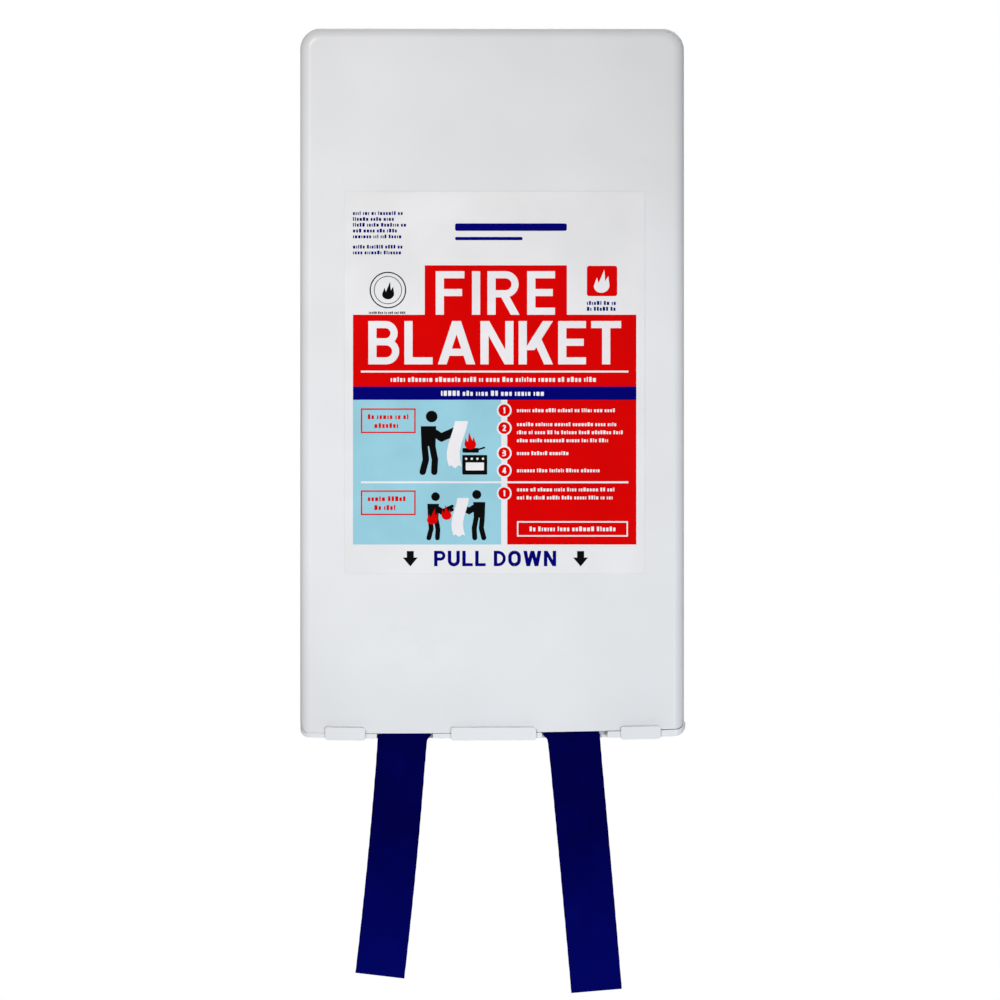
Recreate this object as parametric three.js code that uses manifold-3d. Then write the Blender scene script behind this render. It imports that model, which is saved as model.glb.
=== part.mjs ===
// Fire blanket in a rigid wall case, with two pull tapes.
//
// Millimetres, +Z up. The origin is the middle of the case's back face, which lies flat
// on the wall (the plane y = 0). The front of the case looks along -Y.
// A front cover snaps over a flat back plate. The bottom of the case is a flap on a
// living hinge, held shut by three clip tabs in front of the cover. The folded blanket
// hangs behind it, and its two tapes leave through notches in the flap's front edge.

import * as THREE from "three";
import { mergeVertices } from "three/addons/utils/BufferGeometryUtils.js";
import Module from "manifold-3d";

const wasm = await Module();
wasm.setup();

// ---------------------------------------------------------------- driving dimensions

const GAP = 0.3; // running gap between separate pieces

const CASE_WIDTH = 165;
const CASE_TOP = 152.5;
const CASE_DEPTH = 40;
const CORNER_RADIUS = 9; // top corners, seen from the front
const EDGE_RADIUS = 5; // fillet between the front face and the sides and top
const WALL = 2;

const COVER_BOTTOM = -149.5;
const FOOT_INSET = 0.6; // the cover steps in where the flap's ends wrap round it
const FOOT_TOP = -146.2;
const FOOT_RADIUS = 3;

const PLATE_THICKNESS = 2.2;
const PLATE_BOTTOM = -149.2;
const CATCH_HEIGHTS = [-95, 10, 115];
const CATCH_LENGTH = 12;
const CATCH_REACH = 1;

const KEYHOLE_OFFSET = 42; // either side of the middle
const KEYHOLE_HEIGHT = 104;
const KEYHOLE_HEAD_RADIUS = 4.75;
const KEYHOLE_NECK_RADIUS = 2.3;
const KEYHOLE_NECK_RISE = 10;
const PAD_THICKNESS = 1;

const FLAP_PROUD = 0.4; // how far the flap stands out past the cover's sides
const FLAP_BOTTOM = -152.1;
const FLAP_END_TOP = -146.5;
const FLAP_CORNER_RADIUS = 4.6;
const FLAP_BACK = 3.2;
const FLAP_FRONT = 40.2;
const FLAP_LIP_RADIUS = 1;

const TAB_THICKNESS = 1.6;
const TAB_TOP = -147.3;
const TAB_BOTTOM = -152.9;
const TAB_CORNER_RADIUS = 1.1;
const TABS = [
  { left: -71.6, right: -53.6 },
  { left: -17.6, right: 18.9 },
  { left: 55.3, right: 72.4 },
];

const NOTCH_BACK = 34.6; // distance of a notch's rear edge from the wall
const NOTCHES = [
  { left: -49.8, right: -19 },
  { left: 20.4, right: 49.8 },
];

const HINGE_WEB = 0.6;
const HINGE_HALF_LENGTH = 74;

const LABEL_WIDTH = 129;
const LABEL_HEIGHT = 164;
const LABEL_MIDDLE_X = 1.1;
const LABEL_THICKNESS = 0.25;

const PACK_HALF_WIDTH = 76;
const PACK_BACK = 5.6;
const PACK_FRONT = 35.6;
const PACK_TOP = 127;
const PACK_FRONT_BOTTOM = -143.6;
const PACK_BACK_BOTTOM = -108; // the rear folds end higher, clear of the flap as it turns

const TAPE_THICKNESS = 1.2;
const TAPE_FACE = 36.1; // distance of the tapes' rear side from the wall
const TAPE_SEWN_TOP = -108;
const TAPE_LEAN = 0.6; // how far a tape moves forward as it passes its notch
const SEWN_WIDTH = 22.4;
const PIVOT_HEIGHT = -151; // where a tape bends as it is lifted
const TAPES = [
  {
    name: "left",
    width: 20.8,
    sewnMiddle: -37.4,
    middle: [-38.5, -41.1, -44.5, -48.2], // at even steps down the hanging length
    end: -254.2,
  },
  {
    name: "right",
    width: 20.8,
    sewnMiddle: 34,
    middle: [34.7, 38, 41.5, 44.9],
    end: -260.4,
  },
];

const STITCH_WIDTH = 17;
const STITCH_HEIGHT = 19;
const STITCH_LINE = 1.2;
const STITCH_THICKNESS = 0.3;
const STITCH_GAP = 0.05;

// ---------------------------------------------------------------- materials

const plastic = (color) => new THREE.MeshStandardMaterial({ color, roughness: 0.42, metalness: 0 });
const cloth = (color) => new THREE.MeshStandardMaterial({ color, roughness: 0.9, metalness: 0 });

const shellWhite = plastic(0xe2e4e6);
const flapWhite = plastic(0xdfe3e8);
const labelFilm = plastic(0xeef0f2);
const glassCloth = cloth(0xf0eee8);
const navyWebbing = cloth(0x0c0f3c);
const navyThread = cloth(0x1a1e58);

// ---------------------------------------------------------------- solids

/** A closed three.js geometry as a manifold solid. */
function solid(geometry) {
  const bare = geometry.clone();
  bare.deleteAttribute("normal");
  bare.deleteAttribute("uv");
  const merged = mergeVertices(bare, 1e-4);
  return new wasm.Manifold(
    new wasm.Mesh({
      numProp: 3,
      vertProperties: Float32Array.from(merged.attributes.position.array),
      triVerts: Uint32Array.from(merged.index.array),
    }),
  );
}

/** A manifold solid as a three.js geometry. */
function geometryOf(manifold) {
  const { vertProperties, triVerts } = manifold.getMesh();
  const geometry = new THREE.BufferGeometry();
  geometry.setAttribute("position", new THREE.BufferAttribute(vertProperties, 3));
  geometry.setIndex(new THREE.BufferAttribute(triVerts, 1));
  geometry.computeVertexNormals();
  return geometry;
}

const FRONT_VIEW = new THREE.Matrix4().makeBasis(
  new THREE.Vector3(1, 0, 0),
  new THREE.Vector3(0, 0, 1),
  new THREE.Vector3(0, -1, 0),
);
const SIDE_VIEW = new THREE.Matrix4().makeBasis(
  new THREE.Vector3(0, 1, 0),
  new THREE.Vector3(0, 0, 1),
  new THREE.Vector3(1, 0, 0),
);

/** A shape drawn in X and Z, running forwards from one distance off the wall to another. */
function forwards(shape, from, to, curveSegments = 6) {
  const depth = to - from;
  const geometry = new THREE.ExtrudeGeometry(shape, { depth, bevelEnabled: false, curveSegments });
  return solid(geometry.translate(0, 0, from).applyMatrix4(FRONT_VIEW));
}

/** The same with a round edge of the given radius at the front. */
function roundFronted(shape, from, to, radius, curveSegments = 8) {
  const geometry = new THREE.ExtrudeGeometry(shape, {
    depth: to - from - radius,
    curveSegments,
    bevelThickness: radius,
    bevelSize: radius,
    bevelOffset: -radius,
    bevelSegments: 5,
  });
  return solid(geometry.translate(0, 0, from).applyMatrix4(FRONT_VIEW));
}

/** A shape drawn in Y and Z, running between two places across the case. */
function across(shape, left, right, curveSegments = 6) {
  const depth = right - left;
  const geometry = new THREE.ExtrudeGeometry(shape, { depth, bevelEnabled: false, curveSegments });
  return solid(geometry.translate(0, 0, left).applyMatrix4(SIDE_VIEW));
}

/** A shape drawn in X and Y, running upwards. */
function upwards(shape, bottom, top, curveSegments = 6) {
  const depth = top - bottom;
  const geometry = new THREE.ExtrudeGeometry(shape, { depth, bevelEnabled: false, curveSegments });
  return solid(geometry.translate(0, 0, bottom));
}

/** A block between two corners. y is the distance off the wall. */
function block(x0, x1, y0, y1, z0, z1) {
  const geometry = new THREE.BoxGeometry(x1 - x0, y1 - y0, z1 - z0);
  return solid(geometry.translate((x0 + x1) / 2, -(y0 + y1) / 2, (z0 + z1) / 2));
}

/** A rectangle whose corners have these radii: bottom left, bottom right, top right, top left. */
function roundedRectangle(left, right, bottom, top, radii) {
  const [bottomLeft, bottomRight, topRight, topLeft] = radii;
  const quarter = Math.PI / 2;
  const shape = new THREE.Shape();
  const corner = (x, y, radius, start) => {
    if (radius > 0) shape.absarc(x, y, radius, start, start + quarter, false);
    else shape.lineTo(x, y);
  };
  shape.moveTo(left + bottomLeft, bottom);
  corner(right - bottomRight, bottom + bottomRight, bottomRight, -quarter);
  corner(right - topRight, top - topRight, topRight, 0);
  corner(left + topLeft, top - topLeft, topLeft, quarter);
  corner(left + bottomLeft, bottom + bottomLeft, bottomLeft, 2 * quarter);
  return shape;
}

/** A closed outline through the given points. */
function outline(points) {
  return new THREE.Shape(points.map(([x, y]) => new THREE.Vector2(x, y)));
}

// ---------------------------------------------------------------- front cover

const HALF = CASE_WIDTH / 2;
const BELOW = FLAP_BOTTOM - 20; // well under the case, for shapes that are cut level later
const BEHIND = -20; // well behind the wall plane

/** The case seen from the front, inset all round, and running down past its bottom. */
const caseOutline = (inset) =>
  roundedRectangle(-HALF + inset, HALF - inset, BELOW, CASE_TOP - inset, [
    0,
    0,
    CORNER_RADIUS - inset,
    CORNER_RADIUS - inset,
  ]);

/** The cover's lower end seen from the front: two steps in, then two round corners. */
function footOutline(spread) {
  const half = HALF - FOOT_INSET + spread;
  const bottom = COVER_BOTTOM - spread;
  const radius = FOOT_RADIUS + spread;
  return roundedRectangle(-half, half, bottom, CASE_TOP, [radius, radius, 0, 0]);
}

function frontCover() {
  const outer = roundFronted(caseOutline(0), BEHIND, CASE_DEPTH, EDGE_RADIUS);
  const upper = block(-HALF - 1, HALF + 1, 0, CASE_DEPTH + 1, FOOT_TOP, CASE_TOP + 1);
  const shell = outer.intersect(upper.add(forwards(footOutline(0), 0, CASE_DEPTH + 1)));
  const inside = roundFronted(
    caseOutline(WALL),
    BEHIND - 1,
    CASE_DEPTH - WALL,
    EDGE_RADIUS - WALL,
  );
  return catchSolids(GAP).reduce((rest, catchSolid) => rest.subtract(catchSolid), shell.subtract(inside));
}

// ---------------------------------------------------------------- back plate

const PLATE_EDGE = HALF - WALL - GAP;
const CATCH_BACK = 0.8;
const CATCH_FRONT = 2;

/** The snap catches along the plate's sides, or with a spread the pockets that take them. */
function catchSolids(spread) {
  const inner = PLATE_EDGE - 2;
  const outer = PLATE_EDGE + CATCH_REACH + spread;
  return CATCH_HEIGHTS.flatMap((height) => {
    const low = height - CATCH_LENGTH / 2 - spread;
    const high = height + CATCH_LENGTH / 2 + spread;
    return [-1, 1].map((side) => {
      const xs = [side * inner, side * outer].sort((a, b) => a - b);
      return block(...xs, CATCH_BACK - spread, CATCH_FRONT + spread, low, high);
    });
  });
}

/** A keyhole: a round hole for the screw's head and a narrower neck above it for its shank. */
function keyhole(x) {
  const head = new THREE.Shape().absarc(x, KEYHOLE_HEIGHT, KEYHOLE_HEAD_RADIUS, 0, 2 * Math.PI);
  const neck = roundedRectangle(
    x - KEYHOLE_NECK_RADIUS,
    x + KEYHOLE_NECK_RADIUS,
    KEYHOLE_HEIGHT,
    KEYHOLE_HEIGHT + KEYHOLE_NECK_RISE,
    [0, 0, KEYHOLE_NECK_RADIUS, KEYHOLE_NECK_RADIUS],
  );
  return forwards(head, -1, PACK_BACK, 8).add(forwards(neck, -1, PACK_BACK));
}

function backPlate() {
  const inset = WALL + GAP;
  const top = CORNER_RADIUS - inset;
  const plate = roundedRectangle(-PLATE_EDGE, PLATE_EDGE, PLATE_BOTTOM, CASE_TOP - inset, [0, 0, top, top]);
  let body = forwards(plate, 0, PLATE_THICKNESS);
  for (const catchSolid of catchSolids(0)) body = body.add(catchSolid);
  const padFront = PLATE_THICKNESS + PAD_THICKNESS;
  for (const x of [-KEYHOLE_OFFSET, KEYHOLE_OFFSET]) {
    const pad = roundedRectangle(x - 11, x + 11, KEYHOLE_HEIGHT - 11, KEYHOLE_HEIGHT + 19, [4, 4, 4, 4]);
    body = body.add(forwards(pad, PLATE_THICKNESS / 2, padFront)).subtract(keyhole(x));
  }
  for (const x of [-58, 0, 58]) {
    const rib = block(x - 0.9, x + 0.9, PLATE_THICKNESS / 2, padFront, PLATE_BOTTOM + 12, KEYHOLE_HEIGHT - 24);
    body = body.add(rib);
  }
  return body;
}

// ---------------------------------------------------------------- bottom flap

/** One clip tab: a foot under the flap's front edge, and a tongue in front of the cover. */
function clipTab({ left, right }) {
  const front = CASE_DEPTH + GAP + TAB_THICKNESS;
  const footTop = COVER_BOTTOM - GAP;
  const side = outline([
    [-CASE_DEPTH + 3, TAB_BOTTOM],
    [-CASE_DEPTH + 3, footTop],
    [-CASE_DEPTH - GAP, footTop],
    [-CASE_DEPTH - GAP, TAB_TOP],
    [-front + 0.5, TAB_TOP],
    [-front, TAB_TOP - 0.5],
    [-front, TAB_BOTTOM + 0.5],
    [-front + 0.5, TAB_BOTTOM],
  ]);
  const radii = Array(4).fill(TAB_CORNER_RADIUS);
  const face = roundedRectangle(left, right, TAB_BOTTOM, TAB_TOP, radii);
  return across(side, left, right).intersect(forwards(face, 0, front + 1));
}

function bottomFlap() {
  const half = HALF + FLAP_PROUD;
  const corner = FLAP_CORNER_RADIUS;
  const tray = roundFronted(
    roundedRectangle(-half, half, FLAP_BOTTOM, -FLAP_BOTTOM, [corner, corner, 0, 0]),
    BEHIND,
    FLAP_FRONT,
    FLAP_LIP_RADIUS,
  );
  const plan = roundedRectangle(-half, half, -FLAP_FRONT, -FLAP_BACK, [EDGE_RADIUS, EDGE_RADIUS, 0, 0]);
  const room = forwards(footOutline(GAP), -1, CASE_DEPTH + GAP + 1);
  let flap = tray.intersect(upwards(plan, BELOW, FLAP_END_TOP)).subtract(room);
  for (const { left, right } of NOTCHES) {
    flap = flap.subtract(block(left, right, NOTCH_BACK, FLAP_FRONT + 1, BELOW, TAB_TOP));
  }
  for (const tab of TABS) flap = flap.add(clipTab(tab));
  for (const side of [-1, 1]) {
    const xs = [side * 77.6, side * 79.8].sort((a, b) => a - b);
    flap = flap.add(block(...xs, 9, 33, FLAP_BOTTOM + 1, FLAP_END_TOP + 0.5));
  }
  return flap;
}

/** The thin web that bends as the flap drops: a quarter bend from the plate to the flap. */
function livingHinge() {
  const middle = { y: -FLAP_BACK + GAP, z: PLATE_BOTTOM - GAP };
  const outer = 2.1;
  const bend = new THREE.Shape();
  bend.absarc(middle.y, middle.z, outer, 0, -Math.PI / 2, true);
  bend.absarc(middle.y, middle.z, outer - HINGE_WEB, -Math.PI / 2, 0, false);
  return across(bend, -HINGE_HALF_LENGTH, HINGE_HALF_LENGTH, 5);
}

// ---------------------------------------------------------------- label

function instructionLabel() {
  const left = LABEL_MIDDLE_X - LABEL_WIDTH / 2;
  const half = LABEL_HEIGHT / 2;
  const shape = roundedRectangle(left, left + LABEL_WIDTH, -half, half, [1.5, 1.5, 1.5, 1.5]);
  const back = CASE_DEPTH + STITCH_GAP;
  return forwards(shape, back, back + LABEL_THICKNESS, 4);
}

// ---------------------------------------------------------------- blanket and tapes

/** The folded blanket, hanging free in the case, its rear folds shorter than its front ones. */
function foldedBlanket() {
  const side = new THREE.Shape();
  const round = 4;
  side.moveTo(-PACK_FRONT, PACK_FRONT_BOTTOM + 1.5);
  side.lineTo(-PACK_FRONT + 1.5, PACK_FRONT_BOTTOM);
  side.quadraticCurveTo(-17, PACK_FRONT_BOTTOM + 6, -PACK_BACK, PACK_BACK_BOTTOM);
  side.lineTo(-PACK_BACK, PACK_TOP - round);
  side.absarc(-PACK_BACK - round, PACK_TOP - round, round, 0, Math.PI / 2, false);
  side.absarc(-PACK_FRONT + round, PACK_TOP - round, round, Math.PI / 2, Math.PI, false);
  return across(side, -PACK_HALF_WIDTH, PACK_HALF_WIDTH, 10);
}

/** The sewn end of a tape, flat on the blanket's front and running down through its notch. */
function tapeAnchor(tape) {
  const left = tape.sewnMiddle - SEWN_WIDTH / 2;
  const front = TAPE_FACE + TAPE_THICKNESS;
  const turn = COVER_BOTTOM + 3;
  const end = PIVOT_HEIGHT + TAPE_THICKNESS / 2 + GAP;
  const side = outline([
    [-TAPE_FACE, TAPE_SEWN_TOP],
    [-front, TAPE_SEWN_TOP],
    [-front, turn],
    [-front - TAPE_LEAN, end],
    [-TAPE_FACE - TAPE_LEAN, end],
    [-TAPE_FACE, turn],
  ]);
  return across(side, left, left + SEWN_WIDTH);
}

/** The box and cross that sews a tape to the blanket. */
function tapeStitching(tape) {
  const x = tape.sewnMiddle;
  const z = TAPE_SEWN_TOP - 3 - STITCH_HEIGHT / 2;
  const back = TAPE_FACE + TAPE_THICKNESS + STITCH_GAP;
  const rectangle = (width, height, radius) => {
    const radii = Array(4).fill(radius);
    return roundedRectangle(x - width / 2, x + width / 2, z - height / 2, z + height / 2, radii);
  };
  const frame = forwards(rectangle(STITCH_WIDTH, STITCH_HEIGHT, 0.6), back, back + STITCH_THICKNESS);
  const width = STITCH_WIDTH - 2 * STITCH_LINE;
  const height = STITCH_HEIGHT - 2 * STITCH_LINE;
  let thread = frame.subtract(forwards(rectangle(width, height, 0), back - 1, back + 1));
  for (const side of [-1, 1]) {
    const length = Math.hypot(width, height) + STITCH_LINE;
    const bar = new THREE.BoxGeometry(length, STITCH_THICKNESS, STITCH_LINE);
    bar.rotateY(side * Math.atan2(height, width));
    thread = thread.add(solid(bar.translate(x, -back - STITCH_THICKNESS / 2, z)));
  }
  return thread;
}

/** The hanging length of a tape: it leans a little to one side as it falls, and ends square. */
function pullTape(tape) {
  const top = PIVOT_HEIGHT;
  const steps = tape.middle.length - 1;
  const spine = new THREE.SplineCurve(
    tape.middle.map((x, i) => new THREE.Vector2(x, top + ((tape.end - top) * i) / steps)),
  );
  const samples = 12;
  const edges = [[], []];
  for (let i = 0; i <= samples; i += 1) {
    const point = spine.getPoint(i / samples);
    const along = spine.getTangent(i / samples);
    const reach = tape.width / 2;
    edges[0].push(new THREE.Vector2(point.x + along.y * reach, point.y - along.x * reach));
    edges[1].unshift(new THREE.Vector2(point.x - along.y * reach, point.y + along.x * reach));
  }
  for (const edge of edges) edge.forEach((point) => point.setY(Math.min(point.y, top)));
  const back = TAPE_FACE + TAPE_LEAN;
  const hanging = forwards(new THREE.Shape(edges.flat()), back, back + TAPE_THICKNESS, 1);
  const fold = new THREE.Shape().absarc(-back - TAPE_THICKNESS / 2, top, TAPE_THICKNESS / 2, 0, 2 * Math.PI);
  const reach = tape.width / 2 - 0.2;
  return hanging.add(across(fold, tape.middle[0] - reach, tape.middle[0] + reach, 8));
}

// ---------------------------------------------------------------- assembly

const part = new THREE.Group();

function add(name, manifold, material) {
  const mesh = new THREE.Mesh(geometryOf(manifold), material);
  mesh.name = name;
  part.add(mesh);
}

add("front_cover", frontCover(), shellWhite);
add("back_plate", backPlate(), shellWhite);
add("bottom_flap", bottomFlap(), flapWhite);
add("living_hinge", livingHinge(), flapWhite);
add("instruction_label", instructionLabel(), labelFilm);
add("folded_blanket", foldedBlanket(), glassCloth);
for (const tape of TAPES) {
  add(`${tape.name}_tape_anchor`, tapeAnchor(tape), navyWebbing);
  add(`${tape.name}_tape_stitching`, tapeStitching(tape), navyThread);
  add(`${tape.name}_pull_tape`, pullTape(tape), navyWebbing);
}

export default part;
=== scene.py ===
"""Fire blanket in a rigid wall case: the looks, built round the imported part, in metres."""

import math
import random

import bmesh
import bpy
import numpy as np
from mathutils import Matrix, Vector


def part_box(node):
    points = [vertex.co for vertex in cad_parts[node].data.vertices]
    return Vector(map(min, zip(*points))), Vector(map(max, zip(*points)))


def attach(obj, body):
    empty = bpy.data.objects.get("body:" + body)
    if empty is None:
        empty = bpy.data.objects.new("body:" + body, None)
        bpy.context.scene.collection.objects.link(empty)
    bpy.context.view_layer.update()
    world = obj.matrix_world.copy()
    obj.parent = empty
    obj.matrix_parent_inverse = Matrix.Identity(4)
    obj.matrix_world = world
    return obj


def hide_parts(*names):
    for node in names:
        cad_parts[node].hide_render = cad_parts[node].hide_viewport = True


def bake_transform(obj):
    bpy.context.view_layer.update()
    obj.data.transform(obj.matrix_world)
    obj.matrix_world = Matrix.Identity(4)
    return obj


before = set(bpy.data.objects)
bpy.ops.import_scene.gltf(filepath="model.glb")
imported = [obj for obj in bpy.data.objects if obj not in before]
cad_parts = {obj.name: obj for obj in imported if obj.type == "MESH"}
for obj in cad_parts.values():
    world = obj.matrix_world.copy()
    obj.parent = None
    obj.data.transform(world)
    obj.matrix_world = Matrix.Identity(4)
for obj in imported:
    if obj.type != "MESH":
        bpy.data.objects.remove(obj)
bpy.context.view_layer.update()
MM = 0.001
rng = random.Random(7)

# ---- sizes, from the CAD parts

cover_low, cover_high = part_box("front_cover")
plate_low, plate_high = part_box("back_plate")
flap_low, flap_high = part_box("bottom_flap")
label_low, label_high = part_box("instruction_label")
pack_low, pack_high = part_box("folded_blanket")

HALF = cover_high.x
TOP = cover_high.z
BOTTOM = cover_low.z
DEPTH = -cover_low.y
WALL = 2 * MM
GAP = 0.3 * MM  # the CAD part's clearance round the cover
CORNER = 9 * MM  # radius of the cover's upper corners, seen from the front
EDGE = 5 * MM  # radius between its front and its sides

# The cover's foot: its lowest few millimetres, narrower where the flap's ends wrap round them.
FOOT_INSET = 0.6 * MM
FOOT_TOP = BOTTOM + 3.3 * MM
FOOT_RADIUS = 3 * MM

FLAP_BOTTOM = BOTTOM - 2.6 * MM
FLAP_END_TOP = BOTTOM + 3 * MM
FLAP_FRONT = DEPTH + 0.2 * MM
FLAP_BACK = 3.2 * MM
TRAY_LEFT, TRAY_RIGHT = HALF - 0.1 * MM, flap_high.x + 0.2 * MM  # how far its ends reach to each side
LEFT_CORNER, RIGHT_CORNER = 3.6 * MM, 4.6 * MM  # radius of its lower corners
TAB_THICKNESS = 1.6 * MM
TAB_GAP = 0.1 * MM  # between a clip tab and the cover
TABS = [(-71.6 * MM, -54.4 * MM), (-17.6 * MM, 18.9 * MM), (55.3 * MM, 72.4 * MM)]
NOTCHES = [(-49.5 * MM, -25.4 * MM), (21.4 * MM, 49.6 * MM)]
NOTCH_BACK = 35.6 * MM
NOTCH_CORNER = 0.4 * MM

SEAM_GAP = 0.04 * MM  # between the cover's lower edge and the flap, shut, at the left end
SEAM_WIDENING = (0.13 * MM, 0.22 * MM)  # what it gains past the first tab and at its right end
END_GAPS = {"left": 0.03 * MM, "right": 0.1 * MM}  # the flap sits a little to the right

# Thin mouldings aren't quite straight: each edge is a little low in the middle, higher to the right
# and turned up towards its ends, as (height in the middle, tilt, bow, turn at the ends).
EDGE_BEND = (-0.71 * MM, 0.93 * MM, 0.73 * MM, 0.1 * MM)
FLAP_BEND = (-0.46 * MM, 0.3 * MM, -0.34 * MM, 1.08 * MM)
BEND_CUTS = np.linspace(-HALF, HALF, 23)  # where the mouldings get the vertices they bend at

FINE = 12  # segments in a quarter turn


# ---- camera, floor and light


def put_in_scene(name, data):
    """A new object in the scene."""
    thing = bpy.data.objects.new(name, data)
    bpy.context.scene.collection.objects.link(thing)
    return thing


def make_camera():
    """Straight on, from far away, as wide as the case and its tapes with a margin."""
    width, distance = 429.2 * MM, 2.4
    data = bpy.data.cameras.new("camera")
    data.sensor_width = 36
    data.lens = data.sensor_width * distance / width
    camera = put_in_scene("camera", data)
    camera.location = (3.4 * MM, -DEPTH - distance, -50.3 * MM)
    camera.rotation_euler = (math.radians(90), 0, 0)
    bpy.context.scene.camera = camera


def area_light(name, location, target, size, spread, power, color):
    """A soft square lamp whose light spreads over an angle, in degrees, round its target."""
    data = bpy.data.lights.new(name, "AREA")
    data.size, data.energy, data.color = size, power, color
    data.spread = math.radians(spread)
    lamp = put_in_scene(name, data)
    lamp.location = location
    aim = Vector(target) - Vector(location)
    lamp.rotation_euler = aim.to_track_quat("-Z", "Y").to_euler()


def make_studio():
    """A pale floor far below, as under a wall case, a white surround and soft lamps."""
    bpy.context.scene.view_settings.view_transform = "Standard"
    world = bpy.data.worlds.new("surround")
    bpy.context.scene.world = world
    world.use_nodes = True
    nodes, links = world.node_tree.nodes, world.node_tree.links
    nodes.clear()
    rays = nodes.new("ShaderNodeLightPath")
    seen, felt = nodes.new("ShaderNodeBackground"), nodes.new("ShaderNodeBackground")
    seen.inputs["Color"].default_value = (1, 1, 1, 1)
    felt.inputs["Color"].default_value = (0.97, 0.98, 1, 1)
    felt.inputs["Strength"].default_value = 0.31
    mix, out = nodes.new("ShaderNodeMixShader"), nodes.new("ShaderNodeOutputWorld")
    links.new(rays.outputs["Is Camera Ray"], mix.inputs["Fac"])
    links.new(felt.outputs[0], mix.inputs[1])
    links.new(seen.outputs[0], mix.inputs[2])
    links.new(mix.outputs[0], out.inputs["Surface"])

    area_light("key", (-0.9, -2.6, 0.9), (-0.06, 0, 0.03), 0.5, 17, 0.57, (1, 0.96, 0.91))
    area_light("fill", (0.8, -2.4, -0.6), (-0.02, 0, -0.13), 0.5, 18, 0.375, (0.8, 0.92, 1))
    area_light("back", (0.6, 2.2, 1.2), (0, 0, -0.05), 1.6, 180, 30, (1, 1, 1))

    floor = bpy.data.meshes.new("floor")
    reach, level = 2.3, -2.7
    corners = [(-reach, -reach), (reach, -reach), (reach, reach), (-reach, reach)]
    floor.from_pydata([(x, y, level) for x, y in corners], [], [(0, 1, 2, 3)])
    floor_object = put_in_scene("floor", floor)
    material = bpy.data.materials.new("floor")
    material.use_nodes = True
    shader = material.node_tree.nodes["Principled BSDF"]
    shader.inputs["Base Color"].default_value = (0.6, 0.6, 0.6, 1)
    shader.inputs["Roughness"].default_value = 0.8
    shader.inputs["Emission Color"].default_value = (1, 1, 1, 1)
    shader.inputs["Emission Strength"].default_value = 0.95
    floor.materials.append(material)


# ---- materials


class Nodes:
    """Short calls for building one material's node tree."""

    def __init__(self, name):
        self.material = bpy.data.materials.new(name)
        self.material.use_nodes = True
        self.tree = self.material.node_tree
        self.shader = self.tree.nodes["Principled BSDF"]

    def new(self, kind, inputs=None, **settings):
        node = self.tree.nodes.new("ShaderNode" + kind)
        for key, value in settings.items():
            setattr(node, key, value)
        for key, value in (inputs or {}).items():
            self.put(node.inputs[key], value)
        return node

    def put(self, socket, value):
        """Links a socket to another node's output or gives it a plain value."""
        if isinstance(value, bpy.types.NodeSocket):
            self.tree.links.new(value, socket)
        else:
            socket.default_value = value

    def math(self, operation, a, b=0.0):
        return self.new("Math", {0: a, 1: b}, operation=operation).outputs[0]

    def add(self, a, b):
        return self.math("ADD", a, b)

    def times(self, a, b):
        return self.math("MULTIPLY", a, b)

    def place(self):
        return self.new("TexCoord").outputs["Object"]

    def uv(self):
        return self.new("UVMap", uv_map="flat").outputs[0]

    def noise(self, place, scale, detail=2.0, roughness=0.5):
        settings = {"Vector": place, "Scale": scale, "Detail": detail, "Roughness": roughness}
        return self.new("TexNoise", settings).outputs["Fac"]

    def stretched(self, place, x, y, z):
        return self.new("VectorMath", {0: place, 1: (x, y, z)}, operation="MULTIPLY").outputs[0]

    def between(self, value, low, high, start=0.0, end=1.0):
        inputs = {0: value, 1: low, 2: high, 3: start, 4: end}
        return self.new("MapRange", inputs).outputs[0]

    def blend(self, factor, a, b):
        node = self.new("Mix", data_type="RGBA")
        for socket, value in (("Factor_Float", factor), ("A_Color", a), ("B_Color", b)):
            self.put(next(s for s in node.inputs if s.identifier == socket), value)
        return next(s for s in node.outputs if s.identifier == "Result_Color")

    def bump(self, height, distance, strength=1.0):
        node = self.new("Bump", {"Height": height, "Distance": distance, "Strength": strength})
        self.tree.links.new(node.outputs[0], self.shader.inputs["Normal"])

    def feed(self, name, value):
        self.put(self.shader.inputs[name], value)


CHEVRON = 2.6 * MM  # half the width of one herringbone in the webbing


def linear(red, green, blue):
    """A colour given as 0 to 255 display values, as the linear one a shader takes."""
    values = [c / 255 for c in (red, green, blue)]
    return tuple(c / 12.92 if c <= 0.04045 else ((c + 0.055) / 1.055) ** 2.4 for c in values) + (1,)


def shaded(color, factor):
    """The same colour, lighter or darker."""
    return tuple(c * factor for c in color[:3]) + (1,)


def moulded_plastic(name, color):
    """Satin white moulding: faint cloudiness in the colour, fine grain, a few dull scuffs."""
    n = Nodes(name)
    place = n.place()
    cloud = n.noise(place, 14, 3)
    speck = n.noise(place, 420, 2)
    tone = n.blend(n.between(cloud, 0.35, 0.65), shaded(color, 0.965), shaded(color, 1.02))
    grime = n.between(n.noise(place, 60, 5, 0.7), 0.62, 0.8, 0, 0.35)
    n.feed("Base Color", n.blend(grime, tone, shaded(color, 0.9)))
    scuff = n.noise(n.stretched(place, 30, 30, 420), 1.6, 4, 0.65)
    rough = n.add(n.between(cloud, 0.3, 0.7, 0.34, 0.42), n.between(scuff, 0.6, 0.75, 0, 0.14))
    n.feed("Roughness", rough)
    n.feed("Specular IOR Level", 0.45)
    grain = n.add(n.times(speck, 0.3), n.noise(place, 2600, 1))
    n.bump(grain, 0.015 * MM, 0.35)
    return n.material


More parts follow.
